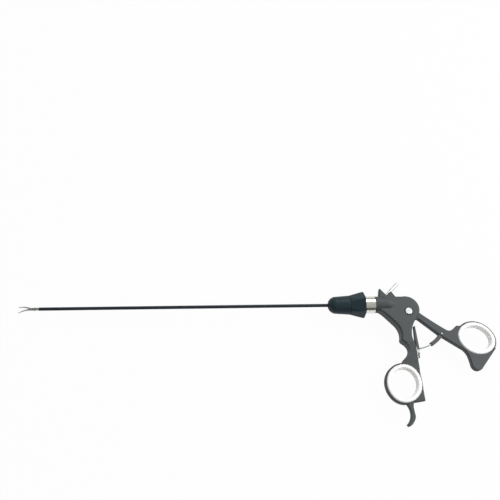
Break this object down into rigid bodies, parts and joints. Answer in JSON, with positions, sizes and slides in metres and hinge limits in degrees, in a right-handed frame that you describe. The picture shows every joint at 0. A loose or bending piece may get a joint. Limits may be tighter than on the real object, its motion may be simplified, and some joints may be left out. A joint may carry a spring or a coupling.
{
  "type": "laparoscopic grasper",
  "caption": "Slim laparoscopic grasper with ring handle, ratchet, rotation knob, connector pin and curved opening jaws.",
  "frame": {"origin": "shaft axis at the front face of the rotation knob, where the free length of the shaft starts", "axes": "+X along the shaft towards the handle, so the jaws point to -X; +Y up from the finger ring towards the shaft; +Z square to the plane of the handle, which lies flat"},
  "size_m": [0.4984, 0.148, 0.0274],
  "materials": {
    "handle_plastic": "satin",
    "shaft_insulation": "satin",
    "white_insert": "satin",
    "polished_steel": "polished",
    "satin_steel": "satin",
    "dark_lever": "satin",
    "bearing_plastic": "satin",
    "silicone": "matte"
  },
  "bodies": {
    "handle": {"front_handle": "handle_plastic", "finger_ring_insert": "white_insert", "steel_collar": "polished_steel", "bearing_bush": "bearing_plastic", "collar_screw": "satin_steel", "pivot_screw": "polished_steel", "pivot_bush": "satin_steel", "pivot_nut": "satin_steel", "connector_pin": "polished_steel", "lever_bracket": "satin_steel", "lever_pin": "satin_steel", "bracket_screws": "satin_steel"},
    "thumb_lever": {"thumb_handle": "handle_plastic", "thumb_ring_insert": "white_insert", "ratchet_housing": "dark_lever"},
    "shaft": {"knob_nose": "handle_plastic", "knob_skirt": "handle_plastic", "knob_set_screw": "satin_steel", "shaft_hub": "satin_steel", "thrust_washer": "bearing_plastic", "outer_tube": "satin_steel", "shaft_insulation": "shaft_insulation", "tip_ring": "polished_steel", "jaw_fork": "satin_steel", "jaw_pin": "satin_steel", "rod_seal": "silicone", "gland_nut": "satin_steel"},
    "rod": {"pull_rod": "satin_steel", "rod_ball": "satin_steel", "drive_pin": "satin_steel"},
    "upper_jaw": {"upper_jaw": "satin_steel"},
    "lower_jaw": {"lower_jaw": "satin_steel"},
    "ratchet_release": {"release_lever": "dark_lever", "ratchet_blade": "satin_steel"}
  },
  "joints": [
    {"name": "thumb_hinge", "type": "hinge", "parent": "handle", "child": "thumb_lever", "pos_m": [0.0832, -0.0096, 0], "axis": [0, 0, -1], "range_deg": [-5, 18]},
    {"name": "shaft_spin", "type": "hinge", "parent": "handle", "child": "shaft", "pos_m": [0, 0, 0], "axis": [1, 0, 0], "continuous": true},
    {"name": "rod_slide", "type": "slide", "parent": "shaft", "child": "rod", "axis": [1, 0, 0], "range_m": [-0.00084, 0.00302]},
    {"name": "upper_jaw_hinge", "type": "hinge", "parent": "shaft", "child": "upper_jaw", "pos_m": [-0.318, 0, 0], "axis": [0, 0, 1], "range_deg": [-3.89, 14]},
    {"name": "lower_jaw_hinge", "type": "hinge", "parent": "shaft", "child": "lower_jaw", "pos_m": [-0.318, 0, 0], "axis": [0, 0, 1], "range_deg": [-14, 3.89]},
    {"name": "ratchet_release_hinge", "type": "hinge", "parent": "handle", "child": "ratchet_release", "pos_m": [0.0865, -0.0516, 0], "axis": [0, 0, 1], "range_deg": [0, 2], "stiffness_Nm_per_rad": 0.3}
  ],
  "couplings": [
    {"joint": "rod_slide", "follows": "thumb_hinge", "m_per_rad": 0.0096},
    {"joint": "upper_jaw_hinge", "follows": "thumb_hinge", "ratio": 0.7777},
    {"joint": "lower_jaw_hinge", "follows": "thumb_hinge", "ratio": -0.7777}
  ]
}
